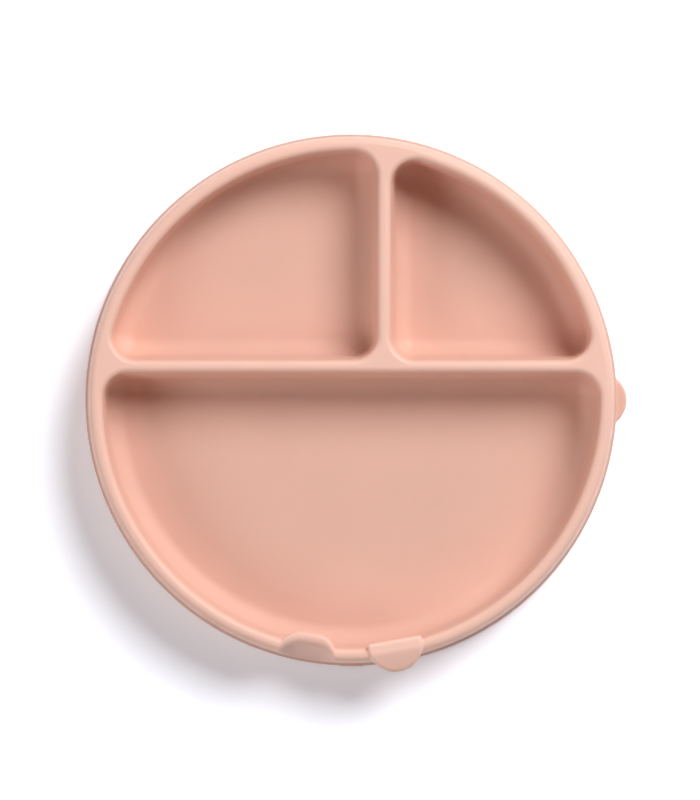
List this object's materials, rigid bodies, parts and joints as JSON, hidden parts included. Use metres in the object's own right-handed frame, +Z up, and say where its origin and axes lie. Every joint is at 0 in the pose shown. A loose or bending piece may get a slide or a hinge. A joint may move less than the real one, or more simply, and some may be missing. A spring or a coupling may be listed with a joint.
{
  "type": "silicone baby plate",
  "caption": "Round one-piece baby plate with deep compartments, a rounded rim with a finger notch and lift tab, and a suction base with a release tab.",
  "frame": {"origin": "on the axis of the round plate, at the level of the table it stands on", "axes": "+Z up out of the plate; +Y from the large compartment towards the two smaller ones; +X towards the release tab"},
  "size_m": [0.1936, 0.1909, 0.0295],
  "materials": {
    "silicone": "matte moulded silicone, peach pink"
  },
  "bodies": {
    "root": {"plate": "silicone"}
  },
  "joints": []
}
